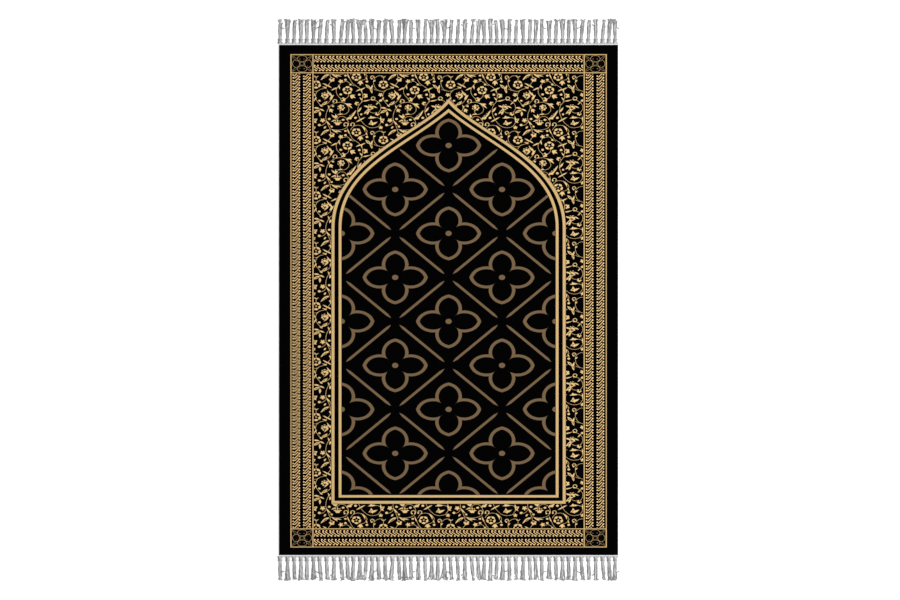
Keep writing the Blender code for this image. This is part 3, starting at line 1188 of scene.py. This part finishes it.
# The tassels stand on the frame's solids, give or take a millimetre or two.
TASSEL_COUNT = 52
TASSEL_PITCH = 13.52 * MM
FIRST_TASSEL_X = -348.1 * MM
FRINGE_REACH = 53.8 * MM
CUT_UNEVENNESS = 1.0 * MM
CUT_WAVE_STEP = 2.4
TASSEL_SET = (
    # shift of the knot, lean of the tip and spread of the tip, in mm
    (0.0, 0.0, 8.5), (2.0, -0.5, 12.0), (2.0, 1.5, 8.0), (2.5, 0.0, 13.0), (1.5, 0.0, 9.0),
    (1.5, 0.0, 13.0), (0.5, 3.0, 8.0), (1.5, 2.5, 8.0), (3.5, -1.0, 11.5), (4.0, 3.5, 8.0),
    (3.5, 2.0, 9.0), (3.0, -1.5, 10.0), (3.0, -2.0, 13.0), (2.0, -2.5, 7.0), (1.0, -1.5, 13.0),
    (0.0, 2.0, 8.5), (0.5, 1.0, 8.0), (2.5, -3.0, 11.5), (2.0, 2.0, 8.0), (0.5, 1.0, 12.0),
)
# Along a tassel: distance out from the rug's end in mm, the bundle's width there in mm, its height as
# a share of the full layers of yarn, and how much of the tip's lean and spread is reached.
BUNDLE_SECTIONS = (
    (3.4, 12.9, 0.30, 0.00, 0.00),
    (5.4, 11.6, 0.45, 0.00, 0.00),
    (7.2, 8.8, 0.80, 0.00, 0.00),
    (9.6, 7.2, 1.00, 0.00, 0.00),
    (13.2, 6.8, 1.00, 0.02, 0.00),
    (15.6, 5.7, 0.95, 0.04, 0.00),
    (19.0, 6.7, 0.85, 0.10, 0.00),
    (24.0, 7.6, 0.80, 0.22, 0.00),
    (30.0, 8.3, 0.75, 0.38, 0.05),
    (37.0, 9.0, 0.70, 0.55, 0.30),
    (44.0, 9.3, 0.60, 0.75, 0.75),
    (50.0, 9.5, 0.45, 0.92, 1.00),
    (54.0, 9.5, 0.40, 1.00, 1.00),
)
BUNDLE_STEPS = 15
# The yarns of a tassel: each one's share of the width from the middle, and its layer above the floor.
BUNDLE_SLOTS = (
    (-0.5, 0), (-0.17, 0), (0.17, 0), (0.5, 0), (-0.33, 1), (0.02, 1), (0.36, 1), (-0.12, 2), (0.2, 2),
)
LAYER_HEIGHT = 0.80  # in yarn thicknesses
# A yarn loosens along the way, from LOOSE_FROM over LOOSE_OVER, in mm: it crimps more, and lifts.
LOOSE_FROM = 15
LOOSE_OVER = 35
CRIMP_FIRST = 0.25
CRIMP_LENGTH = 1.9
LIFT = 0.15
LIFT_LENGTH = 1.8
STRAYING = 0.16  # how far a yarn strays sideways, as a share of the tip's spread
END_SHORT = 1.1  # how far the longest yarn ends before the tassel's reach, in mm
END_UNEVENNESS = 2.8
# How pale the yarns are across a tassel, with painted shade down its left and a painted highlight down its
# middle: shares of the width, and the shades there.
COLUMNS = (-0.5, -0.28, 0.0, 0.28, 0.5)
COLUMN_LIGHT_AND_SHADE = (0.0, 0.0, 0.85, 0.12, 0.36)
SHADE_RANGE = (-0.15, 0.12)
# How a shade drifts along a yarn, and how much more so at its loose end.
DRIFT_KEPT = 0.45
DRIFT = 0.10
LOOSE_DRIFT = 0.22
LOOSE_DARKER = 0.08
# A yarn's end untwists into plies that curl up on the floor: the share of the curl at each step.
CURL_TURNS = (0.05, 0.10, 0.15, 0.17, 0.17, 0.18, 0.18)
CURL_STEP = 0.78 * MM
CURL_BEND = (3.0, 6.2)
CURL_ROOM = 2.0 * MM
CURL_BACK = 0.8 * MM
CURL_SETTLES = 0.9
PLY_SHARE = 0.6  # how thick a parted ply is beside its yarn
PLY_APART = 0.22  # how far it parts from the yarn's middle, in yarn thicknesses
PLY_TURNED = 0.1
PLY_SHADE = 0.25
PLY_DAPPLE = 0.20
# The knot: two bands of two strands round the bundle, and a loop on its right. The strands are painted pale
# on the knot's right and dark on its left, and the loop is painted palest, as a highlight.
KNOT_OUT = (9.5, 12.6)
KNOT_HALF_WIDTH = 4.2 * MM
KNOT_HALF_HEIGHT = 1.75 * MM
KNOT_MIDDLE = 2.60 * MM
KNOT_SLANT = 0.34
KNOT_STEPS = 12
KNOT_START = 1.2
KNOT_STRAND = 1.6 * MM
STRANDS_APART = 1.5
# The knot's painted light and shade, and the painted shadow on the yarns under it.
KNOT_SHADE = 0.24
STRAND_SHADE = 0.25
KNOT_PALEST = 1.1
KNOT_SHADOW = 0.15
ROOT_PALER = 0.20  # painted light: the yarns on a tassel's right are this much paler below its knot
KNOT_LOOP = ((1.6, 8.0), (3.9, 8.3), (4.9, 11.0), (3.9, 13.9), (1.4, 14.4))
LOOP_STEP = 1.8
LOOP_HEIGHT = 3.6 * MM
LOOP_HIGHLIGHT = 1.05
YARN_SIDES = 6
PLY_SIDES = 4
PLY_LENGTH = 3.2 * MM  # of one full turn of a yarn's plies
# The ends' reach isn't quite the same: how much longer the arch's end is than the foot's.
ARCH_END_LONGER = 0.5 * MM
# The cords that head a fringe: distance out, thickness and pitch of the twist in mm, and shade.
HEADER_CORDS = (
    (1.98, 2.6, 2.0, 1.10),
    (3.95, 1.7, 1.9, 0.66),
)
HEADER_LONGER = 2.4 * MM  # than the rug is wide
CORD_SAMPLES = 3
CORD_WAVE = 0.06
CORD_DRIFT = 0.05
# Single yarns that strayed from a tassel: its number in the set or in the row, then where the yarn
# leaves it and where it ends, each as distance across from the knot and out from the rug's end in mm.
STRAYS = (
    (0, (2.5, 37.5), (9.3, 34.0)),
    (5, (2.5, 34.5), (12.0, 38.7)),
    (8, (-4.0, 40.0), (-8.5, 44.5)),
    (10, (3.0, 45.5), (9.5, 49.5)),
    (12, (3.5, 43.0), (10.5, 46.0)),
    (14, (3.0, 36.0), (10.0, 33.0)),
    (17, (-2.5, 37.0), (-8.0, 34.0)),
    (51, (2.5, 37.5), (9.3, 34.0)),
)
STRAY_SHARE = 0.85  # how thick it is beside the others
STRAY_SAG = 0.9j
STRAY_STEP = 1.4
STRAY_HEIGHT = 0.8


class YarnMesh:
    """Tubes of yarn, joined into one mesh with their winding and shade."""

    def __init__(self):
        self.places, self.faces, self.windings, self.shades = [], [], [], []

    def tube(self, path, thickness, shades, sides=YARN_SIDES, ply=PLY_LENGTH, ends=0.45):
        """A closed tube along the path, drawn in to a share of ends. shades has one for each place."""
        across = None
        travelled = 0.0
        first = len(self.places)
        last = len(path) - 1
        for k, place in enumerate(path):
            ahead = (path[min(k + 1, last)] - path[max(k - 1, 0)]).normalized()
            if across is None:
                across = ahead.cross(Vector((0.0, 0.0, 1.0)))
                if across.length < 0.1:
                    across = ahead.cross(Vector((1.0, 0.0, 0.0)))
            across = (across - ahead * across.dot(ahead)).normalized()
            up = across.cross(ahead)
            if k:
                travelled += (place - path[k - 1]).length
            radius = thickness / 2 * (ends if k in (0, last) else 1.0)
            for side in range(sides):
                angle = math.tau * side / sides
                self.places.append(place + radius * (math.cos(angle) * across + math.sin(angle) * up))
                self.windings.append((side / sides, travelled / ply))
                self.shades.append(shades[k])
        for k in range(last):
            for side in range(sides):
                a = first + k * sides + side
                b = first + k * sides + (side + 1) % sides
                self.faces.append((a, a + sides, b + sides, b))
        self.faces.append(tuple(first + side for side in range(sides)))
        self.faces.append(tuple(first + last * sides + side for side in reversed(range(sides))))

    def piece(self, name, material):
        places = [tuple(place) for place in self.places]
        piece = piece_of(name, places, self.faces, material, "fringe_yarn", smooth=True)
        mesh = piece.data
        vertex = np.empty(len(mesh.loops), int)
        mesh.loops.foreach_get("vertex_index", vertex)
        windings = np.array(self.windings)[vertex]
        mesh.uv_layers.new(name=PLY_MAP).uv.foreach_set("vector", windings.ravel())
        mesh.attributes.new(SHADE, "FLOAT", "POINT").data.foreach_set("value", self.shades)
        return piece


class Fringe:
    """One end's yarns. side is +1 at the arch's end and -1 at the foot."""

    def __init__(self, side, settings):
        self.side = side
        self.settings = settings
        self.yarns = YarnMesh()
        self.headers = YarnMesh()
        self.random = random.Random(settings.seed)

    def at(self, across, out, height):
        """A place by its distance across the rug, out from the rug's end, and above the floor."""
        return Vector((across, self.side * (RUG_LENGTH / 2 + out), height))

    def shades(self, middle, path):
        """Shades that drift round the middle one along a yarn, and most of all near its loose end."""
        drift, found = 0.0, []
        for k in range(len(path)):
            loose = (k / len(path)) ** 2
            drift = DRIFT_KEPT * drift + self.random.gauss(0.0, DRIFT + LOOSE_DRIFT * loose)
            found.append(min(1.0, max(0.0, middle + drift - LOOSE_DARKER * loose)))
        return found

    def tassel(self, index):
        shift, lean, spread = (value * MM for value in TASSEL_SET[index % len(TASSEL_SET)])
        centre = FIRST_TASSEL_X + index * TASSEL_PITCH + shift
        reach = FRINGE_REACH + CUT_UNEVENNESS * math.sin(CUT_WAVE_STEP * index) + self.side * ARCH_END_LONGER
        self.bundle(centre, lean, spread - CURL_ROOM, reach)
        self.knot(centre)
        for number, start, end in STRAYS:
            if number in (index, index % len(TASSEL_SET)):
                self.stray(centre, start, end)

    def bundle(self, centre, lean, spread, reach):
        """The tassel's yarns from the header to their loose ends."""
        thick = self.settings.yarn_thickness
        outs, *columns = np.array(BUNDLE_SECTIONS).T
        for share, layer in BUNDLE_SLOTS:
            wander = self.random.uniform(0, math.tau)
            end = reach / MM - END_SHORT - abs(self.random.gauss(0.0, END_UNEVENNESS))
            stray = self.random.gauss(0.0, STRAYING)
            path = []
            for out in np.linspace(outs[0], end, BUNDLE_STEPS):
                width, layers, leaning, spreading = (np.interp(out, outs, column) for column in columns)
                width = width * MM + (spread - width * MM) * spreading
                across = centre + lean * leaning + (share + stray * spreading) * (width - thick)
                loose = min(1.0, max(0.0, (out - LOOSE_FROM) / LOOSE_OVER))
                across += (CRIMP_FIRST + loose) * self.settings.crimp * math.sin(out / CRIMP_LENGTH + wander)
                height = thick / 2 + layer * layers * thick * LAYER_HEIGHT
                height += loose * LIFT * thick * (1 + math.sin(out / LIFT_LENGTH + 2 * wander))
                path.append(self.at(across, out * MM, height))
            # Painted light and shade by the yarn's place across the tassel, and its own tone at random.
            middle = np.interp(share, COLUMNS, COLUMN_LIGHT_AND_SHADE) + self.random.uniform(*SHADE_RANGE)
            shades = self.shades(middle, path)
            # Painted shadow on the yarns under the knot, and painted light on the tassel's right below it.
            for k, place in enumerate(path):
                out = self.side * place.y - RUG_LENGTH / 2
                if KNOT_OUT[0] * MM < out < KNOT_OUT[1] * MM:
                    shades[k] *= KNOT_SHADOW
                elif out < KNOT_OUT[0] * MM and share > 0:
                    shades[k] = min(1.0, shades[k] + ROOT_PALER)
            self.yarns.tube(path, thick, shades, ends=0.8)
            for apart in (-1, 1):
                ply = self.loose_ply(path, apart, thick)
                shade = middle + self.random.gauss(0.0, PLY_SHADE)
                dapple = [min(1.0, max(0.0, shade + self.random.gauss(0.0, PLY_DAPPLE))) for _ in ply]
                self.yarns.tube(ply, PLY_SHARE * thick, dapple, sides=PLY_SIDES, ends=0.7)

    def loose_ply(self, path, apart, thick):
        """One ply of a yarn's untwisted end, which parts to one side and curls on the floor."""
        bend = apart * self.random.choice((-1, 1)) * self.random.uniform(*CURL_BEND)
        ahead = (path[-1] - path[-2]).normalized()
        aside = Vector((ahead.y, -ahead.x, 0.0)) * apart
        heading = math.atan2(ahead.y, ahead.x) - PLY_TURNED * apart
        place = path[-1] - ahead * CURL_BACK + aside * PLY_APART * thick
        curl = [place.copy()]
        for turn in CURL_TURNS:
            heading += bend * turn
            place = place + Vector((math.cos(heading), math.sin(heading), 0.0)) * CURL_STEP
            place.z = max(PLY_SHARE / 2 * thick, place.z * CURL_SETTLES)
            curl.append(place.copy())
        return curl

    def knot(self, centre):
        """An overhand knot: two bands of yarn that cross on the bundle's left and fork on its right, painted
        pale on the right and dark on the left.
        """
        for out, slant in zip(KNOT_OUT, (-KNOT_SLANT, KNOT_SLANT)):
            for strand in (-0.5, 0.5):
                path, shades = [], []
                for k in range(KNOT_STEPS + 1):
                    angle = math.tau * (k / KNOT_STEPS) + KNOT_START
                    across = KNOT_HALF_WIDTH * math.cos(angle)
                    height = KNOT_MIDDLE + KNOT_HALF_HEIGHT * math.sin(angle)
                    along = out * MM + slant * across + strand * STRANDS_APART * MM
                    path.append(self.at(centre + across, along, height))
                    # Painted light and shade: a strand is pale where it rounds the knot's right and dark on
                    # its left.
                    shade = KNOT_SHADE + STRAND_SHADE * strand + math.cos(angle)
                    shades.append(min(KNOT_PALEST, max(0.0, shade)))
                self.yarns.tube(path, KNOT_STRAND, shades, ends=1.0)
        # The loop on the right is painted palest, as a highlight.
        loop = smooth_run([complex(*place) for place in KNOT_LOOP], LOOP_STEP)
        path = [self.at(centre + place.real * MM, place.imag * MM, LOOP_HEIGHT) for place in loop]
        self.yarns.tube(path, KNOT_STRAND, [LOOP_HIGHLIGHT] * len(path))

    def stray(self, centre, start, end):
        """One yarn that hangs out of its tassel across the gap."""
        thick = STRAY_SHARE * self.settings.yarn_thickness
        start, end = complex(*start), complex(*end)
        places = smooth_run([start, (start + end) / 2 - STRAY_SAG, end], STRAY_STEP)
        path = [self.at(centre + place.real * MM, place.imag * MM, thick * STRAY_HEIGHT) for place in places]
        self.yarns.tube(path, thick, [0.0] * len(path))

    def header(self):
        """The cords along the rug's end: a pale one, and a thin one that the tassels grow from."""
        for out, thickness, pitch, shade in HEADER_CORDS:
            steps = round(RUG_WIDTH / (pitch * MM / CORD_SAMPLES))
            path, shades = [], []
            for k in range(steps + 1):
                across = (RUG_WIDTH + HEADER_LONGER) * (k / steps - 0.5)
                wave = CORD_WAVE * thickness * MM * math.sin(math.tau * k / CORD_SAMPLES)
                path.append(self.at(across, out * MM + wave, thickness / 2 * MM + abs(wave)))
                shades.append(shade + CORD_DRIFT * math.sin(1.7 * k))
            self.headers.tube(path, thickness * MM, shades, ply=pitch * MM, ends=0.8)


class RUG_OT_knot_fringes(Operator):
    """Knot both fringes: a header, tassels with their knots, and loose ends"""

    bl_idname = "rug.knot_fringes"
    bl_label = "Knot Fringes"

    def execute(self, context):
        settings, colours = context.scene.rug_fringe, context.scene.rug_colours
        yarn = yarn_finish("fringe_yarn", colours.fringe_dark, colours.fringe_pale)
        for end, side in (("top", 1), ("bottom", -1)):
            fringe = Fringe(side, settings)
            fringe.header()
            for index in range(TASSEL_COUNT):
                fringe.tassel(index)
            tassels = fringe.yarns.piece(f"tassels_{end}", yarn)
            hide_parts(f"fringe_{end}")
            fringe.headers.piece(f"header_{end}", yarn)
        return {"FINISHED"}


# ---------------------------------------------------------------- the studio


FLOOR_HALF = 6.0
FLOOR_DROP = 0.2 * MM
KEY_PLACE = Vector((0.7, 0.1, 2.9))
KEY_SIZE = 1.2
CLIP = 3  # how far the camera sees, in distances to the rug


class RUG_OT_set_studio(Operator):
    """Set up the white floor, the soft light and the camera straight above"""

    bl_idname = "rug.set_studio"
    bl_label = "Set Studio"

    def execute(self, context):
        scene, studio = context.scene, context.scene.rug_studio
        mesh = bpy.data.meshes.new("floor")
        corners = [(x, y, -FLOOR_DROP) for x, y in ((-1, -1), (1, -1), (1, 1), (-1, 1))]
        mesh.from_pydata([(x * FLOOR_HALF, y * FLOOR_HALF, z) for x, y, z in corners], [], [(0, 1, 2, 3)])
        floor = bpy.data.objects.new("floor", mesh)
        scene.collection.objects.link(floor)
        finish = Finish("floor", roughness=1.0, specular_ior_level=0.0, base_color=(*studio.floor, 1.0))
        mesh.materials.append(finish.material)

        world = bpy.data.worlds.new("studio")
        world.use_nodes = True
        sky = world.node_tree.nodes["Background"]
        sky.inputs["Color"].default_value = (1.0, 1.0, 1.0, 1.0)
        sky.inputs["Strength"].default_value = studio.sky
        scene.world = world

        light = bpy.data.lights.new("key", "AREA")
        light.size = KEY_SIZE
        light.energy = studio.key
        key = bpy.data.objects.new("key", light)
        key.location = KEY_PLACE
        key.rotation_euler = (-KEY_PLACE).to_track_quat("-Z", "Y").to_euler()
        scene.collection.objects.link(key)

        lens = bpy.data.cameras.new("camera")
        lens.lens = studio.lens
        camera = bpy.data.objects.new("camera", lens)
        distance = studio.view_width * lens.lens / lens.sensor_width
        camera.location = (studio.view_shift, 0.0, distance + RUG_THICKNESS)
        lens.clip_end = CLIP * distance
        scene.collection.objects.link(camera)
        scene.camera = camera
        scene.view_settings.view_transform = "Standard"
        return {"FINISHED"}


class RUG_OT_declare_cloth(Operator):
    bl_idname = "rug.declare_cloth"
    bl_label = "Declare Cloth"

    def execute(self, context):
        return {"FINISHED"}


STEPS = (
    RUG_OT_set_studio,
    RUG_OT_lay_ground,
    RUG_OT_weave_frame,
    RUG_OT_weave_bands,
    RUG_OT_weave_arch,
    RUG_OT_weave_lattice,
    RUG_OT_weave_scroll,
    RUG_OT_knot_fringes,
    RUG_OT_declare_cloth,
)
SETTINGS = {
    "rug_cloth": RugClothSettings,
    "rug_colours": RugColourSettings,
    "rug_fringe": RugFringeSettings,
    "rug_studio": RugStudioSettings,
}


class RUG_PT_panel(Panel):
    """Lists the rug's settings and steps"""

    bl_label = "Prayer Rug"
    bl_idname = "RUG_PT_panel"
    bl_space_type = "VIEW_3D"
    bl_region_type = "UI"
    bl_category = "Prayer Rug"

    def draw(self, context):
        for name, group in SETTINGS.items():
            box = self.layout.box()
            settings = getattr(context.scene, name)
            for setting in group.__annotations__:
                box.prop(settings, setting)
        for step in STEPS:
            self.layout.operator(step.bl_idname)


def register():
    for cls in (*SETTINGS.values(), *STEPS, RUG_PT_panel):
        bpy.utils.register_class(cls)
    for name, group in SETTINGS.items():
        setattr(bpy.types.Scene, name, PointerProperty(type=group))


def unregister():
    for name in SETTINGS:
        delattr(bpy.types.Scene, name)
    for cls in reversed((*SETTINGS.values(), *STEPS, RUG_PT_panel)):
        bpy.utils.unregister_class(cls)


def main():
    register()
    bpy.ops.rug.set_studio()
    bpy.ops.rug.lay_ground()
    bpy.ops.rug.weave_frame()
    bpy.ops.rug.weave_bands()
    bpy.ops.rug.weave_arch()
    bpy.ops.rug.weave_lattice()
    bpy.ops.rug.weave_scroll()
    bpy.ops.rug.knot_fringes()
    bpy.ops.rug.declare_cloth()


if __name__ == "__main__":
    main()
